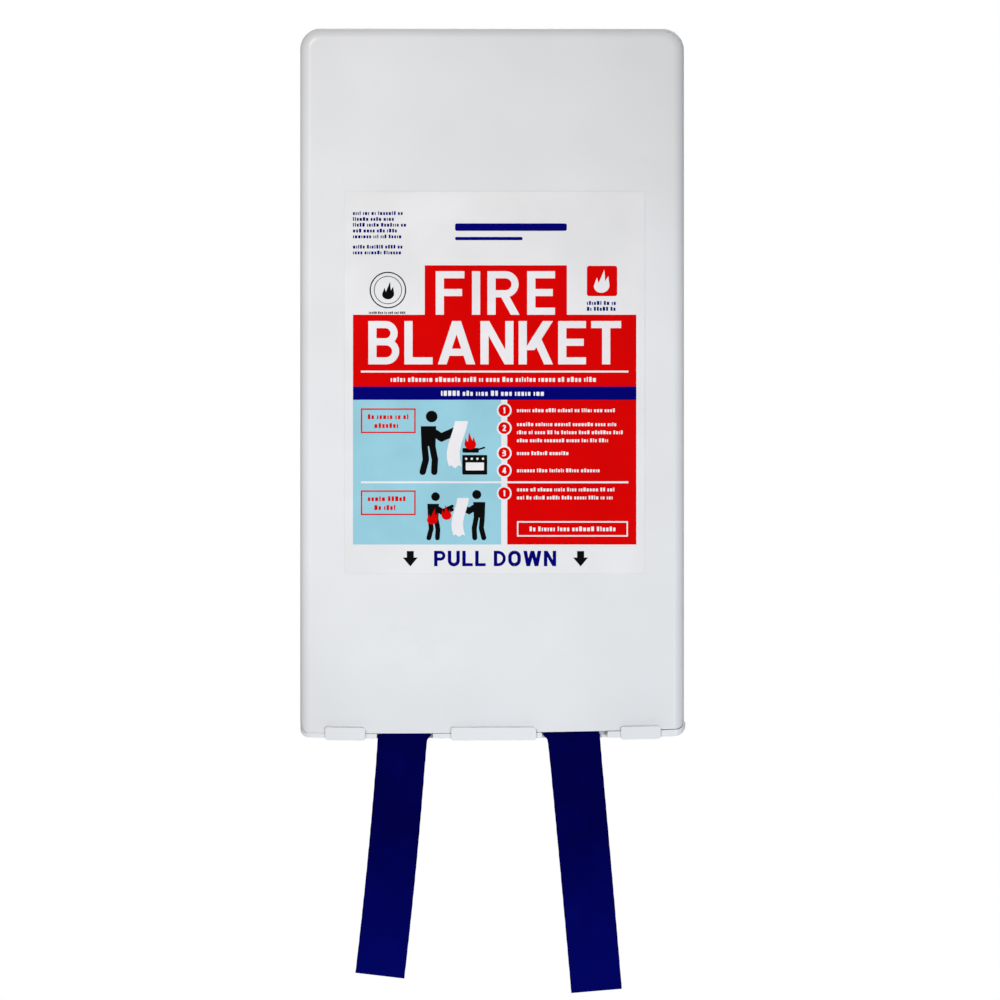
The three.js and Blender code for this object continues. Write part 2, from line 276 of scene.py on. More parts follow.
def label_film():
    """White self-adhesive film: a smooth skin with long low waves."""
    n = Nodes("label_film")
    place = n.place()
    tone = n.noise(place, 25, 3)
    n.feed("Base Color", n.blend(n.between(tone, 0.35, 0.65), linear(220, 219, 220), linear(228, 226, 228)))
    n.feed("Roughness", n.between(n.noise(place, 180, 3), 0.3, 0.7, 0.3, 0.38))
    n.bump(n.add(n.noise(place, 40, 2), n.times(n.noise(place, 900), 0.08)), 0.04 * MM, 0.4)
    return n.material


def printed_ink(name, color):
    """Screen-printed ink: a little uneven in density and gloss."""
    n = Nodes(name)
    place = n.place()
    density = n.add(n.noise(place, 55, 3), n.times(n.noise(place, 2400, 1), 0.35))
    n.feed("Base Color", n.blend(n.between(density, 0.45, 0.9), shaded(color, 0.94), shaded(color, 1.05)))
    n.feed("Roughness", n.between(n.noise(place, 300, 2), 0.3, 0.7, 0.4, 0.55))
    n.feed("Specular IOR Level", 0.015)
    n.bump(n.noise(place, 1500, 2), 0.01 * MM, 0.3)
    return n.material


def weave_height(n, across, along, pitch):
    """A plain weave: yarns rising and dipping under each other, from 0 to 1."""
    turn = math.pi / pitch
    a = n.math("SINE", n.times(across, turn))
    b = n.math("SINE", n.times(along, turn))
    over = n.times(a, b)
    ridges = n.math("MAXIMUM", n.math("ABSOLUTE", a), n.math("ABSOLUTE", b))
    return n.add(n.times(over, 0.35), n.times(ridges, 0.6))


def glass_cloth():
    """Woven glass fibre: an off-white plain weave with a silky lustre, painted shade where the yarns dip, and
    loose yarn tone.
    """
    n = Nodes("glass_cloth")
    parts = n.new("SeparateXYZ", {0: n.uv()}).outputs
    height = weave_height(n, parts[0], parts[1], 0.9 * MM)
    yarn = n.noise(n.stretched(n.uv(), 1600, 90, 1), 1, 3)
    # painted shade: the weave is painted darker where the yarns dip and lighter where they stand up
    tone = n.blend(n.between(height, 0.1, 0.9), linear(196, 190, 176), linear(240, 237, 228))
    n.feed("Base Color", n.blend(n.between(yarn, 0.3, 0.7, 0, 0.3), tone, linear(214, 206, 188)))
    n.feed("Roughness", n.between(yarn, 0.3, 0.7, 0.5, 0.68))
    n.feed("Sheen Weight", 0.25)
    n.bump(n.add(height, n.times(yarn, 0.3)), 0.12 * MM, 0.8)
    return n.material


def navy_webbing():
    """Narrow woven tape: navy yarns in a fine herringbone, painted lighter where they stand up and darker in
    the dips as light and shade, and painted lighter towards the lower end as light.
    """
    n = Nodes("navy_webbing")
    uv = n.uv()
    parts = n.new("SeparateXYZ", {0: uv}).outputs
    column = n.math("PINGPONG", parts[0], CHEVRON)
    slope = n.add(parts[1], column)
    rib = n.math("SINE", n.times(slope, 2 * math.pi / (1.05 * MM)))
    thread = n.math("SINE", n.times(parts[0], 2 * math.pi / (0.42 * MM)))
    height = n.add(n.times(rib, 0.5), n.times(thread, 0.22))
    fuzz = n.noise(n.stretched(uv, 1500, 500, 1), 1, 3)
    painted_light_lower_end = n.between(parts[1], 84 * MM, 145 * MM)  # painted light: the colour is painted lighter towards the lower end, standing in for the light there
    dark = n.blend(painted_light_lower_end, linear(0, 0, 54), linear(0, 2, 82))
    light = n.blend(painted_light_lower_end, linear(1, 1, 82), linear(3, 9, 112))
    # painted light and shade: the raised yarns are painted lighter and the dips darker
    tone = n.blend(n.between(height, -0.6, 0.7), dark, light)
    wear = n.between(n.noise(n.place(), 90, 3), 0.5, 0.75, 0, 0.3)
    n.feed("Base Color", n.blend(n.times(wear, fuzz), tone, linear(8, 12, 116)))
    n.feed("Roughness", n.between(fuzz, 0.3, 0.7, 0.72, 0.9))
    n.feed("Specular IOR Level", 0.01)
    n.bump(n.add(height, n.times(fuzz, 0.6)), 0.07 * MM, 0.7)
    return n.material


def sewing_thread(name, color):
    """Twisted thread: slanting plies, painted darker between them and lighter on them as shade and light, so
    the tone changes softly along its length.
    """
    n = Nodes(name)
    place = n.place()
    ply = n.new("TexWave", {"Vector": place, "Scale": 900, "Distortion": 1.5}, bands_direction="DIAGONAL")
    # painted shade and light: darker between the plies, lighter on them
    tone = n.blend(n.between(ply.outputs["Fac"], 0.2, 0.8), shaded(color, 0.7), shaded(color, 1.2))
    n.feed("Base Color", tone)
    n.feed("Roughness", n.between(n.noise(place, 700), 0.3, 0.7, 0.5, 0.75))
    n.bump(ply.outputs["Fac"], 0.05 * MM, 0.6)
    return n.material


# ---- mesh tools


def add_piece(name, points, faces, material, smooth=True):
    """A mesh object from plain points and faces."""
    mesh = bpy.data.meshes.new(name)
    mesh.from_pydata([tuple(p) for p in points], [], [tuple(f) for f in faces])
    mesh.validate()
    mesh.update()
    if smooth:
        mesh.shade_smooth()
    if material is not None:
        mesh.materials.append(material)
    return put_in_scene(name, mesh)


def apply_modifiers(piece):
    """Turns what the modifiers make into the piece's own mesh."""
    bpy.context.view_layer.update()
    graph = bpy.context.evaluated_depsgraph_get()
    made = bpy.data.meshes.new_from_object(piece.evaluated_get(graph), depsgraph=graph)
    piece.modifiers.clear()
    old, piece.data = piece.data, made
    bpy.data.meshes.remove(old)
    made.name = piece.name


def combine(piece, tool, operation):
    """Joins a tool to a piece or cuts it away, then deletes the tool."""
    change = piece.modifiers.new("combine", "BOOLEAN")
    change.operation, change.solver, change.object = operation, "EXACT", tool
    apply_modifiers(piece)
    bpy.data.objects.remove(tool)


def bevel(piece, radius, segments, angle, outer="MITER_SHARP"):
    """Small round edges where two faces meet at more than an angle, in degrees."""
    edges = piece.modifiers.new("edges", "BEVEL")
    edges.width, edges.segments = radius, segments
    edges.limit_method, edges.angle_limit = "ANGLE", math.radians(angle)
    edges.miter_outer = outer
    apply_modifiers(piece)


def flat_faces(piece):
    """Smooth shading with normals that keep the flat faces flat."""
    piece.data.shade_smooth()
    normals = piece.modifiers.new("normals", "WEIGHTED_NORMAL")
    normals.mode, normals.weight, normals.keep_sharp = "FACE_AREA", 80, True


def soften(piece, radius, segments=3, angle=40):
    """Small round edges between flat faces."""
    bevel(piece, radius, segments, angle, "MITER_ARC")
    flat_faces(piece)


def edit(piece, change):
    """Opens a piece's mesh, makes a change to it and stores it."""
    work = bmesh.new()
    work.from_mesh(piece.data)
    change(work)
    work.to_mesh(piece.data)
    work.free()


def cut_across(piece, places):
    """Adds edges round a mesh at these places along X, so that it can bend there."""

    def cut(work):
        for x in places:
            everything = work.verts[:] + work.edges[:] + work.faces[:]
            bmesh.ops.bisect_plane(work, geom=everything, dist=1e-7, plane_co=(x, 0, 0), plane_no=(1, 0, 0))

    edit(piece, cut)


def close_slivers(piece):
    """Fills the hair-thin holes that joining solids can leave open."""

    def fill(work):
        bmesh.ops.holes_fill(work, edges=[edge for edge in work.edges if edge.is_boundary], sides=4)

    edit(piece, fill)


def outwards(piece):
    """Faces all point out of a closed mesh."""
    edit(piece, lambda work: bmesh.ops.recalc_face_normals(work, faces=work.faces))


def arc(middle, radius, start, end, steps=FINE):
    """Points round an arc, angles in degrees, both ends included."""
    angles = np.radians(np.linspace(start, end, steps + 1))
    return [(middle[0] + radius * math.cos(a), middle[1] + radius * math.sin(a)) for a in angles]


def rounded_rectangle(left, right, bottom, top, radii, steps=FINE):
    """Corner radii in the order bottom left, bottom right, top right, top left."""
    corners = [(left, bottom, 1, 1), (right, bottom, -1, 1), (right, top, -1, -1), (left, top, 1, -1)]
    points = []
    for (x, y, sx, sy), radius, start in zip(corners, radii, (180, 270, 0, 90)):
        if radius > 0:
            points += arc((x + sx * radius, y + sy * radius), radius, start, start + 90, steps)
        else:
            points.append((x, y))
    return points


def band_faces(rings, width, closed=True, first=0):
    """Quads between rings of points, one ring after the other in a list of points."""
    faces = []
    for ring in range(rings - 1):
        low, high = first + ring * width, first + (ring + 1) * width
        for k in range(width if closed else width - 1):
            following = (k + 1) % width
            faces.append((low + k, low + following, high + following, high + k))
    return faces


def prism(name, outline, low, high, place, material=None):
    """A closed solid: an outline carried from low to high. place turns (a, b, t) into a point."""
    count = len(outline)
    points = [place(a, b, low) for a, b in outline] + [place(a, b, high) for a, b in outline]
    sides = [(i, (i + 1) % count, count + (i + 1) % count, count + i) for i in range(count)]
    faces = [tuple(reversed(range(count))), tuple(range(count, 2 * count))] + sides
    piece = add_piece(name, points, faces, material, smooth=False)
    outwards(piece)
    return piece


def front_view(a, b, t):
    """An outline drawn in X and Z, carried forwards off the wall."""
    return (a, -t, b)


def side_view(a, b, t):
    """An outline drawn in Y and Z, carried across the case."""
    return (t, a, b)


def plan_view(a, b, t):
    """An outline drawn in X and Y, carried upwards."""
    return (a, b, t)


def box(name, x0, x1, y0, y1, z0, z1):
    """A block. y0 and y1 are distances off the wall."""
    return prism(name, [(x0, z0), (x1, z0), (x1, z1), (x0, z1)], y0, y1, front_view)


def finish_piece(piece, body, slot, *nodes):
    """Rides on a body and stands for these CAD nodes. The slot is not used."""
    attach(piece, body)
    if nodes:
        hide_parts(*nodes)


# ---- front cover


def share_of(part, whole):
    """A part as a share of the whole, kept between 0 and 1."""
    return min(max(part / whole, 0), 1)


def bent(x, bend):
    """How far an edge bent like this is from level, at this place across the front."""
    middle, tilt, bow, turn = bend
    u = x / HALF
    return middle + tilt * u + bow * u**2 + turn * u**4


def seam_widening(x):
    """What the seam under the cover gains: nothing up to the first tab, then more to the right."""
    return float(np.interp(x, (*TABS[0], HALF), (0, *SEAM_WIDENING)))


def foot_share(z):
    """The share of an edge's bend at this height: all at the foot's lowest, none at its top."""
    return share_of(FOOT_TOP - z, FOOT_TOP - BOTTOM)


def foot_half(z):
    """Half the cover's width near its lower end, where the flap's ends wrap round it."""
    if z > FOOT_TOP - 1e-7:
        return HALF
    half = HALF - FOOT_INSET
    drop = (BOTTOM + FOOT_RADIUS) - z
    if drop <= 0:
        return half
    return half - FOOT_RADIUS + math.sqrt(max(FOOT_RADIUS**2 - drop**2, 0))


def cover_section(inset, depth, lowest):
    """One section parallel to the front: up the left side, round the corner, and mirrored."""
    half, radius, top = HALF - inset, CORNER - inset, TOP - inset
    rise = BOTTOM + FOOT_RADIUS - lowest
    curved = [lowest + rise * (1 - math.cos(t * math.pi / 20)) for t in range(11)]
    levels = curved + [FOOT_TOP - 2e-6, FOOT_TOP]
    left = [(-min(half, foot_half(z)), z) for z in levels]
    left += [(-half, z) for z in np.linspace(FOOT_TOP + 4 * MM, top - radius - 2 * MM, 9)]
    left += list(reversed(arc((-half + radius, top - radius), radius, 90, 180)))
    right = [(-x, z) for x, z in reversed(left)]
    return [(x, -depth, z) for x, z in left + right]


def make_cover(material):
    """A shell in quads: outer skin, front face, inner skin and the rims between them."""
    turns = np.radians(np.linspace(0, 90, FINE + 1))

    def skin(inset, front, radius, low_side, low_front):
        rings = [cover_section(inset, 0, low_side)]
        for t in turns:
            share = (1 - math.cos(t)) * radius
            lowest = low_side + (low_front - low_side) * min(share / (0.3 * radius), 1)
            rings.append(cover_section(inset + share, front - radius + radius * math.sin(t), lowest))
        return rings

    outer = skin(0, DEPTH, EDGE, BOTTOM + 0.4 * MM, BOTTOM)
    inner = skin(WALL, DEPTH - WALL, EDGE - WALL, BOTTOM + 0.9 * MM, BOTTOM)
    count, rings = len(outer[0]), outer + list(reversed(inner))
    points = [p for ring in rings for p in ring]
    middle, total, last = len(outer), len(rings), count - 1
    faces = []

    def face(*corners):
        faces.append(tuple(ring * count + i for ring, i in corners))

    for ring in range(total):
        if ring == middle - 1:
            continue  # the front face and its inner side are filled across instead
        following = (ring + 1) % total
        for i in range(last):
            face((ring, i), (ring, i + 1), (following, i + 1), (following, i))
    for ring in (middle - 1, middle):
        for i in range(count // 2 - 1):
            face((ring, i), (ring, i + 1), (ring, last - i - 1), (ring, last - i))
    for i in (0, last):
        for ring in range(middle - 1):
            partner = total - 1 - ring
            face((ring, i), (ring + 1, i), (partner - 1, i), (partner, i))
    face((middle - 1, 0), (middle - 1, last), (middle, last), (middle, 0))
    cover = add_piece("cover_shell", points, faces, material)
    outwards(cover)
    soften(cover, 0.45 * MM, 3, 50)
    cut_across(cover, BEND_CUTS)
    for vertex in cover.data.vertices:
        vertex.co.z += foot_share(vertex.co.z) * bent(vertex.co.x, EDGE_BEND)
    finish_piece(cover, "case", "case_plastic", "front_cover")


# ---- back plate


def make_plate(material):
    """The flat back, with raised pads round its two keyholes and three ribs inside."""
    inset = HALF - plate_high.x + 1.0 * MM
    edge = HALF - inset
    top_radius = CORNER - inset
    thick, pad_front = 2.2 * MM, -plate_low.y
    radii = (0, 0, top_radius, top_radius)
    outline = rounded_rectangle(-edge, edge, plate_low.z, plate_high.z, radii)
    plate = prism("rear_plate", outline, 0, thick, front_view, material)
    height, offset = 104 * MM, 42 * MM  # of the keyholes' round heads
    head, neck, slot_length = 4.75 * MM, 2.3 * MM, 10 * MM
    reach, above, corner = 11 * MM, 19 * MM, 4 * MM  # of the pads round them
    for x in (-offset, offset):
        pad = rounded_rectangle(x - reach, x + reach, height - reach, height + above, [corner] * 4)
        combine(plate, prism("pad", pad, thick / 2, pad_front, front_view), "UNION")
        spread = math.degrees(math.asin(neck / head))
        hole = arc((x, height), head, 90 + spread, 450 - spread, 36)
        hole += arc((x, height + slot_length - neck), neck, 0, 180)
        combine(plate, prism("keyhole", hole, -MM, 8 * MM, front_view), "DIFFERENCE")
    rib_half, rib_low, rib_high = 0.9 * MM, plate_low.z + 12 * MM, height - 24 * MM
    rib_offset = 58 * MM
    for x in (-rib_offset, 0, rib_offset):
        rib = box("rib", x - rib_half, x + rib_half, thick / 2, pad_front, rib_low, rib_high)
        combine(plate, rib, "UNION")
    soften(plate, 0.25 * MM, 2)
    finish_piece(plate, "case", "case_plastic", "back_plate")


# ---- bottom flap and its hinge


def tray_outline():
    """The flap seen from the front: a strip whose ends curl up round the cover's foot."""
    outer = [(-TRAY_LEFT, FLAP_END_TOP)]
    outer += arc((-TRAY_LEFT + LEFT_CORNER, FLAP_BOTTOM + LEFT_CORNER), LEFT_CORNER, 180, 270)
    outer += arc((TRAY_RIGHT - RIGHT_CORNER, FLAP_BOTTOM + RIGHT_CORNER), RIGHT_CORNER, 270, 360)
    outer.append((TRAY_RIGHT, FLAP_END_TOP))
    low = BOTTOM - SEAM_GAP
    inner = []
    for gap, way in ((END_GAPS["right"], 1), (END_GAPS["left"], -1)):
        edge, radius = HALF - FOOT_INSET + gap, FOOT_RADIUS + gap
        bend = [(way * x, z) for x, z in arc((edge - radius, low + radius), radius, 0, -90)]
        side = [(way * edge, FLAP_END_TOP)] + bend
        inner += side if way > 0 else side[::-1]
    return outer + inner


def outside_tray(x, z):
    """Whether this place in the tray's section is on its outer face, not on the one round the cover."""
    edge, corner = (TRAY_RIGHT, RIGHT_CORNER) if x > 0 else (TRAY_LEFT, LEFT_CORNER)
    across, down = abs(x) - edge + corner, FLAP_BOTTOM + corner - z
    return math.hypot(max(across, 0), max(down, 0)) > corner - 0.6 * MM


def clip_tab(left, right):
    """A tongue in front of the cover on a foot under the flap's edge, all edges round."""
    front, back, foot_back = -(DEPTH + GAP + TAB_THICKNESS), -DEPTH - TAB_GAP, -DEPTH + 3 * MM
    low, high, foot_top = flap_low.z, BOTTOM + 2.2 * MM, BOTTOM - GAP
    outline = [(foot_back, low), (foot_back, foot_top), (back, foot_top)]
    outline += [(back, high), (front, high), (front, low)]
    tab = prism("tab", outline, left, right, side_view)
    face = rounded_rectangle(left, right, low, high, [1.1 * MM] * 4, 6)
    combine(tab, prism("face", face, 0, DEPTH + 9 * MM, front_view), "INTERSECT")
    bevel(tab, 0.25 * MM, 3, 50)
    return tab


def make_flap(material):
    """The tray with its front corners rounded in plan, two notches, three tabs and two ribs."""
    flap = prism("drop_flap", tray_outline(), FLAP_BACK, FLAP_FRONT, front_view, material)
    plan = rounded_rectangle(-TRAY_LEFT, TRAY_RIGHT, -FLAP_FRONT, -FLAP_BACK, (EDGE, EDGE, 0, 0))
    combine(flap, prism("plan", plan, FLAP_BOTTOM - MM, FLAP_END_TOP + MM, plan_view), "INTERSECT")
    for left, right in NOTCHES:
        corners = (0, 0, NOTCH_CORNER, NOTCH_CORNER)
        outline = rounded_rectangle(left, right, -FLAP_FRONT - 3 * MM, -NOTCH_BACK, corners, 6)
        notch = prism("notch", outline, FLAP_BOTTOM - MM, FLAP_END_TOP + MM, plan_view)
        combine(flap, notch, "DIFFERENCE")
    cut_across(flap, BEND_CUTS)
    for vertex in flap.data.vertices:  # the tray's upper face follows the cover's edge
        if vertex.co.z < FLAP_END_TOP - MM and not outside_tray(vertex.co.x, vertex.co.z):
            drop = bent(vertex.co.x, FLAP_BEND) + seam_widening(vertex.co.x)
            vertex.co.z += foot_share(vertex.co.z) * bent(vertex.co.x, EDGE_BEND) - drop
    bevel(flap, 0.35 * MM, 3, 40)
    rib_back, rib_front = 9 * MM, 33 * MM
    for side in (-1, 1):
        left, right = sorted((side * 77.6 * MM, side * 79.8 * MM))
        rib = box("rib", left, right, rib_back, rib_front, FLAP_BOTTOM + MM, FLAP_END_TOP + 0.5 * MM)
        combine(flap, rib, "UNION")
    for left, right in TABS:
        combine(flap, clip_tab(left, right), "UNION")
    close_slivers(flap)
    for vertex in flap.data.vertices:
        vertex.co.z += bent(vertex.co.x, FLAP_BEND)
    flat_faces(flap)
    flap.data.set_sharp_from_angle(angle=math.radians(45))
    finish_piece(flap, "flap", "flap_plastic", "bottom_flap")


def make_hinge(material):
    """The thin web between plate and flap; the real one bends as the flap drops, this one keeps one shape."""
    low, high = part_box("living_hinge")
    middle, outer, inner = (low.y, high.z), high.y - low.y, high.y - low.y - 0.6 * MM
    outline = arc(middle, outer, 0, -90, 16) + arc(middle, inner, -90, 0, 16)
    web = prism("hinge_web", outline, low.x, high.x, side_view, material)
    web.data.shade_smooth()
    web.data.set_sharp_from_angle(angle=math.radians(40))
    start, end = (0, high.y - 0.3 * MM, high.z), (0, low.y, low.z + 0.3 * MM)
    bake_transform(web)
    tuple(start)
    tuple(end)
    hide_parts("living_hinge")


# ---- label

INK = 0.03 * MM  # thickness of one printed layer
STACK = 0.1  # how far shapes that overlap in one ink are set apart, as a share of a layer
LABEL_X = (label_low.x + label_high.x) / 2
LABEL_Z = (label_low.z + label_high.z) / 2


def ribbon(path, width):
    """The outline of a flat band of even width along a path."""
    points = [Vector(p) for p in path]
    left, right = [], []
    for i, point in enumerate(points):
        before = (point - points[i - 1]).normalized() if i > 0 else None
        after = (points[i + 1] - point).normalized() if i < len(points) - 1 else before
        before = before or after
        along = (before + after).normalized()
        reach = width / 2 / max(along.dot(after), 0.5)
        side = Vector((-along.y, along.x)) * reach
        left.append(tuple(point + side))
        right.append(tuple(point - side))
    return left + right[::-1]


def bowl(start, edge, low, high, bar):
    """The round side of a letter such as D: out from the stem, round, and back to it."""
    radius = (high - low - bar) / 2
    middle = (edge - bar / 2 - radius, (high + low) / 2)
    return ribbon([(start, high - bar / 2)] + arc(middle, radius, 90, -90) + [(start, low + bar / 2)], bar)


def slant(x0, z0, x1, z1, breadth):
    """A leaning stroke with level ends, from its lower to its upper left corner."""
    return [(x0, z0), (x0 + breadth, z0), (x1 + breadth, z1), (x1, z1)]


def level(x0, x1, z, bar):
    return ribbon([(x0, z), (x1, z)], bar)


LETTER_WIDTHS = {
    "F": 0.66, "I": 0.18, "R": 0.74, "E": 0.64, "B": 0.71, "L": 0.65, "A": 0.86, "N": 0.76, "K": 0.79,
    "T": 0.69, "P": 0.7, "U": 0.74, "D": 0.74, "O": 0.78, "W": 1.12, " ": 0.2,
    "1": 0.34, "2": 0.6, "3": 0.6, "4": 0.66,
}  # in cap heights


def letter_shapes(letter, w, bar):
    """Outlines of one plain upright capital or digit, one unit tall and w wide."""
    v, top, foot = bar * 0.87, 1 - bar * 0.435, bar * 0.435  # level strokes are a little thinner
    d, wide = bar * 1.08, bar * 1.08 * 1.15  # and leaning ones a little broader
    start, radius = bar * 0.9, (w - bar) / 2
    upright = lambda x: ribbon([(x, 0), (x, 1)], bar)
    rise = lambda x0, x1: slant(x0, 0, x1, 1, d)
    turn = lambda z, first, last: arc((w / 2, z), radius, first, last)
    high, low = 1 - radius - v / 2, radius + v / 2
    stem, far_stem = upright(bar / 2), upright(w - bar / 2)

    def letter_o():
        left = turn(high, 90, 180) + turn(low, 180, 270)
        return [ribbon(left, bar), ribbon([(w - x, z) for x, z in left], bar)]

    def letter_w():
        valleys, peak = (w * 0.27 - d / 2, w * 0.73 - d / 2), w / 2 - d / 2
        return [rise(valleys[0], 0), rise(valleys[0], peak), rise(valleys[1], peak), rise(valleys[1], w - d)]

    shapes = {
        "F": lambda: [stem, level(start, w, top, v), level(start, w * 0.92, 0.51, v)],
        "I": lambda: [stem],
        "E": lambda: shapes["F"]() + [level(start, w, foot, v)],
        "L": lambda: [stem, level(start, w, foot, v)],
        "T": lambda: [level(0, w, top, v), upright(w / 2)],
        "P": lambda: [stem, bowl(start, w, 0.36, 1, v)],
        "R": lambda: [stem, bowl(start, w * 0.97, 0.4, 1, v), slant(w - d, 0, w * 0.38, 0.46, d)],
        "B": lambda: [stem, bowl(start, w * 0.95, 0.44, 1, v), bowl(start, w, 0, 0.44 + v, v)],
        "D": lambda: [stem, bowl(start, w, 0, 1, v)],
        "A": lambda: [rise(0, w / 2 - d / 2), rise(w - d, w / 2 - d / 2), level(w * 0.2, w * 0.8, 0.28, v)],
        "N": lambda: [stem, far_stem, rise(w - d, 0)],
        "K": lambda: [stem, slant(bar * 0.7, 0.33, w - wide, 1, wide), slant(w - d, 0, w * 0.38, 0.63, d)],
        "W": letter_w,
        "U": lambda: [ribbon([(bar / 2, 1)] + turn(low, 180, 360) + [(w - bar / 2, 1)], bar)],
        "O": letter_o,
        "1": lambda: [far_stem, slant(0, 0.68, w - bar, 1, bar)],
        "2": lambda: [ribbon(turn(high, 170, -35) + [(bar * 0.7, v * 0.8)], bar), level(0, w, foot, v)],
        "3": lambda: [bowl(0.08, w * 0.96, 0.44, 1, v), bowl(0, w, 0, 0.44 + v, v)],
        "4": lambda: [upright(w * 0.7), slant(0, 0.22, w * 0.7 - bar / 2, 1, bar), level(0.02, w, 0.28, v)],
        " ": list,
    }
    return shapes[letter]()


class Print:
    """Printed shapes in one ink. Places are in millimetres from the middle of the label."""

    def __init__(self, name, material):
        self.name, self.material, self.parts = name, material, []

    def outline(self, points, layer):
        """A closed outline, printed as a solid skin on top of the layers under it."""
        back = -label_low.y + (layer - 1) * INK
        placed = [(LABEL_X + x * MM, LABEL_Z + z * MM) for x, z in points]
        self.parts.append(prism("ink", placed, back, back + INK, front_view))

    def bar(self, left, right, low, high, layer, radius=0.0):
        """A rectangle, with round corners where a radius is given."""
        self.outline(rounded_rectangle(left, right, low, high, [radius] * 4, 4), layer)

    def disc(self, x, z, radius, layer):
        self.outline(arc((x, z), radius, 0, 350, 35), layer)

    def ring(self, x, z, radius, line, layer):
        """A circle drawn as two half rings."""
        for start in (0, 180):
            self.outline(ribbon(arc((x, z), radius, start, start + 180, 20), line), layer)

    def frame(self, left, right, low, high, line, layer):
        """A box drawn as four lines that meet at mitred corners."""
        outer = [(left, low), (right, low), (right, high), (left, high)]
        inner = [(left + line, low + line), (right - line, low + line)]
        inner += [(right - line, high - line), (left + line, high - line)]
        for i in range(4):
            following = (i + 1) % 4
            self.outline([outer[i], outer[following], inner[following], inner[i]], layer)

    def limb(self, points, width, layer):
        """A band with round ends through the given points."""
        path = [Vector(p) for p in points]
        start, end = path[0] - path[1], path[-1] - path[-2]
        half = width / 2
        turns = [math.degrees(math.atan2(v.y, v.x)) for v in (start, end)]
        body = ribbon(points, width)
        count = len(points)
        cap = arc(points[-1], half, turns[1] + 90, turns[1] - 90, 8)
        foot = arc(points[0], half, turns[0] + 90, turns[0] - 90, 8)
        self.outline(body[1 : count - 1] + cap + body[count + 1 : -1] + foot, layer)

    def words(self, text, left, right, low, height, weight, layer, gap=0.15):
        """Plain capitals or digits that fill the width, with strokes and gaps in cap heights."""
        widths = [LETTER_WIDTHS[letter] for letter in text]
        stretch = (right - left) / height / (sum(widths) + gap * (len(text) - 1))
        x = left
        for letter, width in zip(text, widths):
            for step, shape in enumerate(letter_shapes(letter, width * stretch, weight)):
                placed = [(x + a * height, low + b * height) for a, b in shape]
                self.outline(placed, layer + step * STACK)
            x += (width + gap) * stretch * height

    def small_print(self, left, right, low, height, layer):
        """A line of small upright blocks that stands in for writing and spells nothing."""
        x = left
        while x < right - height:
            for _ in range(rng.randint(2, 7)):
                breadth = height * rng.choice((0.28, 0.5, 0.5, 0.62))
                if x + breadth > right:
                    break
                self.bar(x, x + breadth, low, low + height * rng.choice((0.78, 0.78, 1)), layer, height * 0.1)
                x += breadth + 0.24 * height
            x += 0.38 * height

    def finish(self):
        """Joins the ink's shapes into one piece on the case."""
        work = bmesh.new()
        for part in self.parts:
            work.from_mesh(part.data)
            bpy.data.objects.remove(part)
        bmesh.ops.recalc_face_normals(work, faces=work.faces)
        mesh = bpy.data.meshes.new(self.name)
        work.to_mesh(mesh)
        work.free()
        mesh.materials.append(self.material)
        finish_piece(put_in_scene(self.name, mesh), "case", "label_film")


def flame_outline(x, z, height, lean=0.0):
    """A plain flame of three tongues on a round belly, the middle one the tallest."""
    tips = [(-0.42, 0.3), (-0.3, 0.66), (-0.17, 0.42), (0.02, 1), (0.17, 0.5), (0.3, 0.72), (0.42, 0.32)]
    belly = arc((0, 0.3), 0.3, -10, -170, 10)
    shape = [(a * 1.4, b) for a, b in belly] + tips
    return [(x + (a + lean * b * b) * height * 0.8, z + b * height) for a, b in shape]


def draw_person(ink, x, z, size, reach, layer):
    """A plain standing figure, both arms held out to one side. reach is 1 for right, -1 for left."""
    hip, shoulder = z + 0.45 * size, z + 0.76 * size
    waist, chest = 0.11 * size, 0.12 * size
    ink.disc(x + reach * 0.05 * size, z + 0.91 * size, 0.09 * size, layer)
    body = [(x - waist, hip), (x + waist, hip), (x + chest, shoulder), (x - chest, shoulder)]
    ink.outline(body, layer + STACK)
    for i, side in enumerate((-1, 1)):
        knee = (x + side * 0.07 * size + reach * 0.03 * size, z + 0.24 * size)
        leg = [(x + side * 0.06 * size, hip), knee, (x + side * 0.09 * size, z + 0.05 * size)]
        ink.limb(leg, 0.1 * size, layer + (2 + i) * STACK)
    for i, drop in enumerate((0.05, 0.12)):
        elbow = (x + reach * 0.2 * size, shoulder - (drop + 0.09) * size)
        ends = [(x + reach * share * size, shoulder - drop * size) for share in (0.06, 0.4)]
        ink.limb([ends[0], elbow, ends[1]], 0.065 * size, layer + (4 + i) * STACK)


def hanging_blanket(x, z, width, height, lean):
    """A held-up blanket: a narrow sheet that bows forwards as it falls to a waved lower edge."""
    bow = lambda t: 0.16 * height * math.sin(t * 0.52) * (t / 6 - 1)
    rising = [(lean * t / 6 + bow(t), z + height * t / 6) for t in range(7)]
    lower = [(x + width * t / 6, z + 0.035 * height * math.sin(t * 1.7)) for t in range(1, 6)]
    right = [(x + width + a, b) for a, b in rising]
    left = [(x + a, b) for a, b in rising]
    return lower + right + left[::-1]


INKS = {
    "red": (211, 0, 0),
    "navy": (0, 0, 107),
    "blue": (147, 197, 212),
    "white": (229, 226, 229),
    "black": (8, 8, 9),
}


